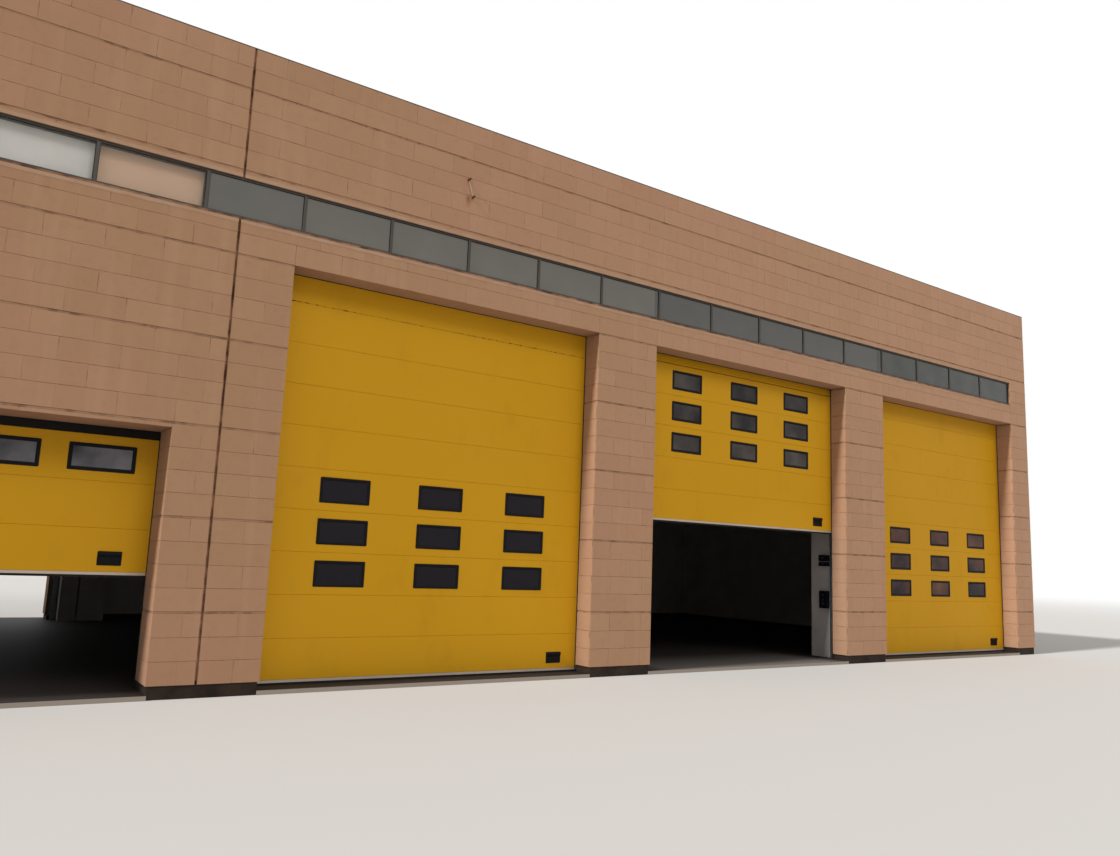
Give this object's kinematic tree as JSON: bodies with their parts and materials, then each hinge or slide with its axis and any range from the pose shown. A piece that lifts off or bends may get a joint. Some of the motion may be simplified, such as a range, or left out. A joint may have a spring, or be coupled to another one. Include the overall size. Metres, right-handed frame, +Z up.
{
  "type": "fire station building",
  "caption": "Single-storey fire station hall with sectional vehicle doors, some part raised, a glazed band under the parapet and a flat roof.",
  "frame": {"origin": "middle of the footprint on the underside of the floor slab, at ground level", "axes": "+Z up, the street front with its four vehicle doors faces -Y, +X to the right along that front"},
  "size_m": [23.67, 11.06, 7.41],
  "materials": {
    "concrete_floor": "power-floated concrete",
    "dark_base": "dark recessed plinth",
    "stone_cladding": "tan stone tiles, fine split face",
    "dark_aluminium": "dark grey-green powder coat",
    "grey_glass": "grey tinted, reflective",
    "dark_sealant": "dark sealant",
    "painted_concrete": "pale grey masonry paint",
    "roof_concrete": "cement screed",
    "black_plastic": "fine grained",
    "rusty_steel": "rusted",
    "tinted_glass": "dark tinted double pane",
    "pale_aluminium": "satin",
    "black_rubber": "matt",
    "galvanised_steel": "galvanised",
    "roller_plastic": "nylon",
    "yellow_door_paint": "satin stucco-embossed coil paint"
  },
  "bodies": {
    "root": {"door_1_leaf": "yellow_door_paint", "door_2_leaf": "yellow_door_paint", "door_3_leaf": "yellow_door_paint", "door_4_leaf": "yellow_door_paint", "door_bottom_bars": "pale_aluminium", "door_control_boxes": "black_plastic", "door_pull_boxes": "black_plastic", "door_rollers": "roller_plastic", "door_seals": "black_rubber", "door_tracks": "galvanised_steel", "door_window_frames": "black_plastic", "door_window_glass": "tinted_glass", "floor_slab": "concrete_floor", "front_columns": "painted_concrete", "front_lintel": "stone_cladding", "front_parapet_left": "stone_cladding", "front_parapet_right": "stone_cladding", "front_wall_over_low_door": "stone_cladding", "glazing_end_blocks": "stone_cladding", "glazing_frames": "dark_aluminium", "glazing_panes": "grey_glass", "left_wall": "stone_cladding", "movement_joint_fillers": "dark_sealant", "parapet_coping": "dark_aluminium", "pier_joint_left": "stone_cladding", "pier_joint_right": "stone_cladding", "pier_left_end": "stone_cladding", "pier_middle": "stone_cladding", "pier_right": "stone_cladding", "pier_right_end": "stone_cladding", "rear_columns": "painted_concrete", "rear_door_leaf": "yellow_door_paint", "rear_parapet_left": "stone_cladding", "rear_parapet_right": "stone_cladding", "rear_piers": "stone_cladding", "rear_wall": "stone_cladding", "rear_wall_over_low_door": "stone_cladding", "right_wall": "stone_cladding", "roof_beams": "painted_concrete", "roof_slabs": "roof_concrete", "track_hangers": "galvanised_steel", "wall_bracket": "rusty_steel", "wall_plinths": "dark_base"}
  },
  "joints": []
}
